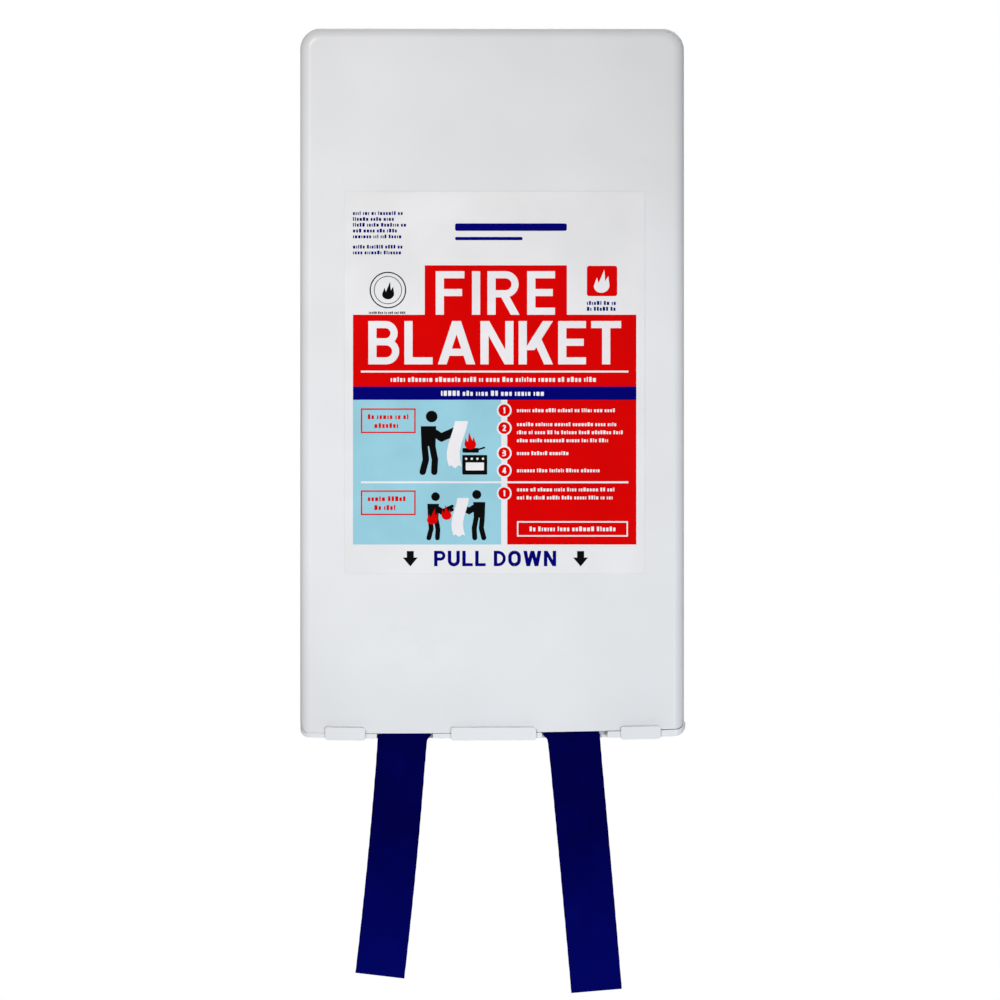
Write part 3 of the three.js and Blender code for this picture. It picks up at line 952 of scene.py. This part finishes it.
def make_label(film):
    """A generic instruction label: a title, two panels, numbered steps and two arrows."""
    outline = rounded_rectangle(label_low.x, label_high.x, label_low.z, label_high.z, [1.5 * MM] * 4, 6)
    skin = prism("label_skin", outline, -label_high.y, -label_low.y, front_view, film)
    soften(skin, 0.06 * MM, 2)
    finish_piece(skin, "case", "label_film", "instruction_label")

    inks = []
    for name, color in INKS.items():
        inks.append(Print(f"print_{name}", printed_ink(f"{name}_ink", linear(*color))))
    red, navy, blue, white, black = inks
    edge, inner = 60.8, 57.4  # half the printed width, and half that of the lines and boxes in it
    step, title_foot, panels_top, panels_foot = 29.2, -1.6, -7.3, -69.4  # heights where areas meet
    middle, text_left = 4.1, 9.6  # between the panels, and where the steps' lines start

    for row, length in enumerate((22, 18, 23, 19, 21)):
        navy.small_print(-edge, -edge + length, 72 - 2.5 * row, 1.6, 1)
    for row in range(2):
        navy.small_print(-edge, -edge + 22, 57.6 - 2.5 * row, 1.6, 1)
    navy.bar(-17, 31, 65.2, 68.4, 1, 0.8)
    navy.bar(-17, 12, 61.2, 62.6, 1, 0.6)
    black.ring(-45.8, 39.8, 7.6, 0.5, 1)
    black.ring(-45.8, 39.8, 5.9, 0.3, 1)
    black.outline(flame_outline(-45.8, 35.8, 7.6, 0.14), 1)
    black.small_print(-54, -38, 29.6, 1, 1)
    red.bar(39.6, 52.6, 37.2, 50.2, 1, 1)
    white.outline(flame_outline(45.8, 38.6, 10, 0.14), 2)
    navy.small_print(39.6, 52.8, 33.4, 1.7, 1)
    navy.small_print(39.6, 52.8, 30.9, 1.7, 1)

    red.bar(-30, 31, step, 50.4, 1)
    red.bar(-edge, edge, title_foot, step, 1)
    white.words("FIRE", -25.3, 25.9, step, 18.7, 0.188, 2, 0.175)
    white.words("BLANKET", -54.2, 54.3, 7.9, 18.6, 0.188, 2, 0.12)
    white.bar(-inner, inner, 4.4, 5.2, 2)
    white.small_print(-44.6, 46, 0.4, 2.1, 2)
    navy.bar(-edge, edge, panels_top, title_foot, 1)
    white.small_print(-23, 24, -5.6, 2.2, 2)

    blue.bar(-edge, middle - 1.3, panels_foot, panels_top, 1)
    red.bar(middle + 1.3, edge, panels_foot, panels_top, 1)
    white.bar(-inner, inner, -43.1, -42.3, 2)
    steps = (
        ("1", -11.8, (43,)),
        ("2", -19.4, (44, 46, 40)),
        ("3", -30.2, (23,)),
        ("4", -37.6, (37,)),
        ("1", -47.4, (43, 42)),
    )  # each step's number, height and the lengths of its lines
    for digit, z, lengths in steps:
        white.disc(middle, z, 3.2, 3)
        red.disc(middle, z, 2.5, 4)
        width = LETTER_WIDTHS[digit] * 2.6
        white.words(digit, middle - width / 2, middle + width / 2, z - 1.3, 2.6, 0.24, 5)
        first = z + 1.6 if len(lengths) > 1 else z
        for row, length in enumerate(lengths):
            white.small_print(text_left, text_left + length, first - 0.8 - 3.45 * row, 1.6, 2)
    white.frame(text_left, 57.2, -66, -59.4, 0.6, 2)
    white.small_print(15, 53, -63.7, 2, 2)
    for low, high in ((-21.6, -11), (-56.8, -46.2)):
        red.frame(-inner, -33.9, low, high, 0.6, 2)
        red.small_print(-54.4, -36.8, high - 4.6, 2.1, 2)
        red.small_print(-51.6, -39.6, high - 8.4, 2.1, 2)

    # above: a figure holds a blanket up in front of a flaming pan on a cooker
    draw_person(black, -28.4, -39.6, 27.6, 1, 2)
    white.outline(hanging_blanket(-19.6, -36, 5.6, 19.6, 2.6), 4)
    red.outline(flame_outline(-10.4, -28.6, 7.4, -0.12), 3)
    black.bar(-13.8, -6.8, -30, -28, 2, 0.4)
    black.limb([(-7, -28.6), (-4.4, -27.8)], 0.7, 2 + STACK)
    black.bar(-13.9, -3.2, -39.4, -31, 2, 0.4)
    white.bar(-12.4, -4.6, -37.6, -34.2, 3, 0.3)
    for knob in range(4):
        white.disc(-12.2 + 2.4 * knob, -32.6, 0.5, 3)

    # below: a figure holds a blanket out to another one whose clothes burn
    draw_person(black, -6.6, -67.6, 21.6, -1, 2)
    draw_person(black, -26.4, -67.6, 20.6, 1, 2)
    red.outline(flame_outline(-26.8, -60.8, 7, 0.2), 4)
    red.outline(flame_outline(-20.6, -58.8, 6.4, -0.14), 4)
    white.outline(hanging_blanket(-17.6, -65.6, 5, 16.2, 1.6), 4)

    navy.words("PULL DOWN", -26, 26.4, -78.7, 6.6, 0.225, 1)
    for x in (-36.2, 36.9):
        shaft, head = 1.5, 3.2
        arrow = [(x - shaft, -72.2), (x - shaft, -75), (x - head, -75), (x, -78.8)]
        arrow += [(x + head, -75), (x + shaft, -75), (x + shaft, -72.2)]
        black.outline(arrow, 1)
    for ink in inks:
        ink.finish()


# ---- tapes

TAPE_THICKNESS = 1.2 * MM
TAPE_MIDDLE = 36.7 * MM  # distance of a tape's middle layer from the wall where it is sewn on
PIVOT = -151 * MM
SEWN_HALF = 11.2 * MM
TAPE_BENDS = [  # how far each height of a tape is in front of its sewn end, in millimetres
    *((0, -108), (0.1, -122), (0, -136), (0.05, -146.4), (0.6, -149.6), (1.5, -151), (1.45, -151.8)),
    *((0.4, -153), (-0.25, -154.6), (-0.3, -157), (0.1, -176), (-0.5, -204), (0.2, -232)),
]
TAPE_SHAPES = {  # middles from side to side, heights and half widths
    "left": {
        "sewn": -37.4 * MM,
        "fold": -151.5 * MM,
        "fold_half": 11.05 * MM,
        "hung_half": 10.5 * MM,
        "end_half": 10.6 * MM,
        "middle": [-38.45 * MM, -41.1 * MM, -44.5 * MM, -48.2 * MM],
        "end": -254.65 * MM,
    },
    "right": {
        "sewn": 34 * MM,
        "fold": -151.1 * MM,
        "fold_half": 12.1 * MM,
        "hung_half": 11.15 * MM,
        "end_half": 10.9 * MM,
        "middle": [35 * MM, 38.3 * MM, 41.8 * MM, 44.85 * MM],
        "end": -261.2 * MM,
    },
}


def smooth_curve(knots, step):
    """Points at an even step along a smooth curve through the knots."""
    knots = np.array(knots, float)
    ends = np.vstack([2 * knots[0] - knots[1], knots, 2 * knots[-1] - knots[-2]])
    dense = []
    for i in range(1, len(ends) - 2):
        a, b, c, d = ends[i - 1 : i + 3]
        slope, bend, twist = c - a, 2 * a - 5 * b + 4 * c - d, 3 * b - a - 3 * c + d
        for t in np.linspace(0, 1, 60, endpoint=False):
            dense.append(0.5 * (2 * b + slope * t + bend * t**2 + twist * t**3))
    dense = np.array(dense + [knots[-1]])
    reach = np.concatenate([[0], np.cumsum(np.linalg.norm(np.diff(dense, axis=0), axis=1))])
    count = max(int(round(reach[-1] / step)), 2)
    even = np.linspace(0, reach[-1], count + 1)
    return np.stack([np.interp(even, reach, dense[:, k]) for k in range(dense.shape[1])], axis=1), even


def add_flat_map(piece, flat):
    """Stores where each vertex lay on the cloth before it was hung, in metres."""
    layer = piece.data.uv_layers.new(name="flat")
    flat = np.asarray(flat)
    corners = np.empty(len(piece.data.loops), dtype=np.int32)
    piece.data.loops.foreach_get("vertex_index", corners)
    layer.data.foreach_set("uv", flat[corners].astype(np.float32).ravel())


def webbing_relief(across, along):
    """Height of the weave, a fine herringbone."""
    column = abs((across / CHEVRON) % 2 - 1) * CHEVRON
    rib = math.sin((along + column) * 2 * math.pi / (1.3 * MM))
    return 0.035 * MM * rib


def make_tape(side, material):
    """One tape, woven as a single band: sewn to the blanket above, bent at the notch, hanging below."""
    shape = TAPE_SHAPES[side]
    lean = -TAPE_MIDDLE
    knots = [(lean - out * MM, z * MM) for out, z in TAPE_BENDS]
    knots.append((lean - 1.1 * MM, shape["end"]))
    path, along = smooth_curve(knots, 0.45 * MM)
    spine_z = np.linspace(PIVOT, shape["end"], len(shape["middle"]))
    spine = np.polyfit(spine_z, shape["middle"], 2)
    fold_start, fold_end = shape["fold"], shape["fold"] - 0.7 * MM
    width_knots = (shape["end"], fold_end, fold_start, -144 * MM)
    half_widths = (shape["end_half"], shape["hung_half"], shape["fold_half"], SEWN_HALF)

    count, across_half = len(path), 23  # rings along the tape, and points from its middle to an edge
    turns = np.linspace(-math.pi / 2, math.pi / 2, 2 * across_half + 1) * 0.96
    shares = np.sin(turns) / math.sin(math.pi / 2 * 0.96)  # closer together towards the edges
    points, flat = [], []
    for i, (y, z) in enumerate(path):
        turned = share_of(fold_start - z, fold_start - fold_end)
        middle = shape["sewn"] * (1 - turned) + np.polyval(spine, z) * turned
        half = float(np.interp(z, width_knots, half_widths))
        half += 0.25 * MM * math.exp((z - fold_end) / (4 * MM)) * turned  # flares up to the fold
        half += 0.05 * MM * math.sin(along[i] * 900) * math.sin(along[i] * 317)  # uneven edges
        lean_angle = math.atan(np.polyval(np.polyder(spine), z)) * turned
        cup = 0.35 * MM * math.sin((along[i] - along[-1]) * 42) * turned  # curl from edge to edge
        step = path[min(i + 1, count - 1)] - path[max(i - 1, 0)]
        tangent = Vector((0, step[0], step[1])).normalized()
        across = Vector((math.cos(lean_angle), 0, -math.sin(lean_angle)))
        front = across.cross(tangent).normalized()
        if front.y > 0:
            front = -front
        near_end = min(along[i], along[-1] - along[i]) / (0.8 * MM)
        swell = 0.62 + 0.38 * min(near_end, 1)  # pressed thin at both cut ends
        ring = [(share, 1) for share in shares] + [(share, -1) for share in shares[::-1]]
        for share, face in ring:
            body = (1 - abs(share) ** 14) ** 0.5 if abs(share) < 1 else 0
            thick = TAPE_THICKNESS / 2 * swell * (0.3 + 0.7 * body)
            selvedge = 0.05 * MM * math.exp(-(((abs(share) - 0.93) / 0.03) ** 2))  # a raised cord
            relief = webbing_relief(share * half, along[i]) * body + selvedge
            offset = face * (thick + relief) + cup * (1 - share**2)
            spot = Vector((middle, y, z)) + across * share * half + front * offset
            points.append(spot)
            flat.append((share * half, along[i]))
    around = 2 * len(shares)
    faces = band_faces(count, around)
    for first in (0, (count - 1) * around):  # the two cut ends
        for k in range(len(shares) - 1):
            mirrored = first + around - 1 - k
            faces.append((first + k, first + k + 1, mirrored - 1, mirrored))
    tape = add_piece(f"{side}_tape_webbing", points, faces, material)
    add_flat_map(tape, flat)
    outwards(tape)
    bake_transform(tape)
    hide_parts(f"{side}_tape_anchor", f"{side}_pull_tape")


def capsule(points, faces, start, end, radius, sides=8):
    """Adds a short round-ended stitch to the lists."""
    start, end = Vector(start), Vector(end)
    along = (end - start).normalized()
    side = along.orthogonal().normalized()
    other = along.cross(side)
    first = len(points)
    rings = [(start, -0.9, 0.42), (start, -0.45, 0.86), (start, 0, 1)]
    rings += [(end, -shift, scale) for _, shift, scale in rings[::-1]]
    for middle, shift, scale in rings:
        for k in range(sides):
            turn = 2 * math.pi * k / sides
            spoke = (side * math.cos(turn) + other * math.sin(turn)) * radius * scale
            points.append(middle + along * shift * radius + spoke)
    faces += band_faces(len(rings), sides, first=first)
    faces.append([first + k for k in range(sides)][::-1])
    faces.append([first + (len(rings) - 1) * sides + k for k in range(sides)])


def stitch_line(points, faces, start, end, radius=0.22 * MM, pitch=2.6 * MM, stitch=1.9 * MM):
    """A row of stitches from one point to another, each a little out of line."""
    start, end = Vector(start), Vector(end)
    length = (end - start).length
    count = max(int(round(length / pitch)), 1)
    along = (end - start) / length
    for i in range(count):
        middle = start + along * (i + 0.5) * length / count
        wander = Vector((rng.uniform(-1, 1), 0, rng.uniform(-1, 1))) * 0.07 * MM
        half = along * (stitch * min(1, length / count / pitch) / 2 - radius)
        capsule(points, faces, middle - half + wander, middle + half - wander, radius)


def make_tape_stitching(side, material):
    """A sewn box with a cross in it, through the tape's upper end."""
    low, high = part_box(f"{side}_tape_stitching")
    y = -(TAPE_MIDDLE + TAPE_THICKNESS / 2 + 0.1 * MM)
    inset = 0.4 * MM
    left, right, foot, top = low.x + inset, high.x - inset, low.z + inset, high.z - inset
    corners = [(left, y, foot), (right, y, foot), (right, y, top), (left, y, top)]
    points, faces = [], []
    for i in range(4):
        stitch_line(points, faces, corners[i], corners[(i + 1) % 4])
    stitch_line(points, faces, corners[0], corners[2])
    stitch_line(points, faces, corners[1], corners[3])
    thread = add_piece(f"{side}_tape_thread", points, faces, material)
    outwards(thread)
    finish_piece(thread, "blanket", "navy_thread", f"{side}_tape_stitching")


# ---- blanket

BLANKET_FLAT = (1.2, 1.8)
PANELS = 8
LAYER_PITCH = 0.5 * MM
RUNS = 7
RUN_PITCH = 4.2 * MM


def underside(y):
    """Height of the folded pack's underside at a distance from the wall, from its CAD solid."""
    spots = [v.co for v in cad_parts["folded_blanket"].data.vertices]
    lower = sorted((p.y, p.z) for p in spots if p.z < 0)
    return float(np.interp(y, [a for a, _ in lower], [b for _, b in lower]))


def strip_path():
    """The middle of the folded strip: seven upright runs joined by round bends, front to back."""
    radius, half_stack = RUN_PITCH / 2, PANELS * LAYER_PITCH / 2
    front = pack_low.y + 2.1 * MM
    upper = pack_high.z - half_stack - radius
    path, length = [], 0.0
    for run in range(RUNS):
        y = front + run * RUN_PITCH
        low_y = y - radius if run % 2 == 0 else y + radius
        lower = underside(min(low_y, pack_high.y)) + half_stack + radius
        if run == 0:
            lower -= radius + 1.6 * MM
        last = run == RUNS - 1
        reach = BLANKET_FLAT[1] - length if last else upper - lower
        rising = run % 2 == 0
        start, turn = (lower, 1) if rising else (upper, -1)
        path += [(y, start + turn * z) for z in np.linspace(0, reach, 12)]
        length += reach + math.pi * radius
        if not last:
            level_here = upper if rising else lower
            for t in np.linspace(0, math.pi, 10)[1:-1]:
                path.append((y + radius - radius * math.cos(t), level_here + turn * radius * math.sin(t)))
    return path


def cloth_section():
    """Across the cloth: eight panels folded to and fro. Each point is (x, offset, place on the cloth)."""
    half, radius = BLANKET_FLAT[0] / PANELS / 2, LAYER_PITCH / 2
    section, place = [], 0.0
    for panel in range(PANELS):
        offset = (panel - (PANELS - 1) / 2) * LAYER_PITCH
        way = 1 if panel % 2 == 0 else -1
        for share in (-1, -0.94, -0.75, -0.5, -0.25, 0, 0.25, 0.5, 0.75, 0.94, 1):
            section.append((way * share * half, offset, place + (share + 1) * half))
        place += 2 * half
        if panel < PANELS - 1:
            for t in (45, 90, 135):
                turn = math.radians(t)
                x = way * (half + radius * math.sin(turn))
                section.append((x, offset + radius * (1 - math.cos(turn)), place))
    return section


def slow_wave(a, b, seed):
    """A smooth wandering value between about -1 and 1."""
    return 0.6 * math.sin(a * 2.1 + b * 1.3 + seed * 5.1) + 0.4 * math.sin(a * 3.7 - b * 2.9 + seed * 2.3)


def make_blanket(material, thread):
    """Glass cloth folded in eight across and seven along, with a hem along its leading edge."""
    path, section = strip_path(), cloth_section()
    cloth_half = BLANKET_FLAT[0] / PANELS / 2
    points, flat, along = [], [], 0.0
    for i, (y, z) in enumerate(path):
        before, after = Vector(path[max(i - 1, 0)]), Vector(path[min(i + 1, len(path) - 1)])
        tangent = (after - before).normalized()
        normal = Vector((tangent.y, -tangent.x))
        if i > 0:
            along += (Vector(path[i]) - Vector(path[i - 1])).length
        run = round((y - path[0][0]) / RUN_PITCH * 2) / 2
        low_share = share_of(-90 * MM - z, 40 * MM)
        for x, offset, place in section:
            # folds that don't quite line up, layers that sway and lower bends that settle unevenly
            trim = 0.75 * MM * (1 + slow_wave(place * 9, along * 4, 1)) * abs(x / cloth_half) ** 12
            sway = 0.12 * MM * slow_wave(x * 40, z * 22, 2)
            settle = 0.9 * MM * slow_wave(x * 55, run * 2.4, 3) * low_share if run > 0 else 0
            if run == 0:
                settle = 0.35 * MM * (1 + slow_wave(x * 70, offset * 900, 4)) * low_share
            height = z + normal.y * offset + max(settle, -0.5 * MM)
            points.append((x - math.copysign(trim, x), y + normal.x * offset + sway, height))
            flat.append((place, along))
    faces = band_faces(len(path), len(section), closed=False)
    cloth = add_piece("blanket_cloth", points, faces, material)
    add_flat_map(cloth, flat)
    body = cloth.modifiers.new("thickness", "SOLIDIFY")
    body.thickness, body.offset = 0.3 * MM, 0
    apply_modifiers(cloth)
    finish_piece(cloth, "blanket", "glass_cloth", "folded_blanket")

    hem_half, hem_low, hem_high = cloth_half - 0.4 * MM, pack_low.z + 0.9 * MM, pack_low.z + 22.6 * MM
    back, front = -pack_low.y + 0.05 * MM, -pack_low.y + 0.3 * MM
    outline = rounded_rectangle(-hem_half, hem_half, hem_low, hem_high, [0.8 * MM] * 4, 4)
    hem = prism("leading_hem", outline, back, front, front_view, material)
    add_flat_map(hem, [(v.co.x, v.co.z) for v in hem.data.vertices])
    soften(hem, 0.1 * MM, 2)
    finish_piece(hem, "blanket", "glass_cloth")

    stitches, stitch_faces = [], []
    for height in (hem_high - 1.6 * MM, hem_low + 1.8 * MM):
        ends = [(side * (hem_half - 1.5 * MM), -front, height) for side in (-1, 1)]
        stitch_line(stitches, stitch_faces, ends[0], ends[1], 0.15 * MM)
    sewing = add_piece("hem_thread", stitches, stitch_faces, thread)
    outwards(sewing)
    finish_piece(sewing, "blanket", "glass_cloth")


# ---- build

make_camera()
make_studio()

white = moulded_plastic("case_plastic", linear(222, 222, 224))
cool_white = moulded_plastic("flap_plastic", linear(224, 225, 228))
make_cover(white)
make_plate(white)
make_flap(cool_white)
make_hinge(cool_white)
make_label(label_film())
webbing = navy_webbing()
navy_thread = sewing_thread("navy_thread", linear(10, 14, 92))
for side in ("left", "right"):
    make_tape(side, webbing)
    make_tape_stitching(side, navy_thread)
make_blanket(glass_cloth(), sewing_thread("hem_thread", linear(205, 200, 190)))
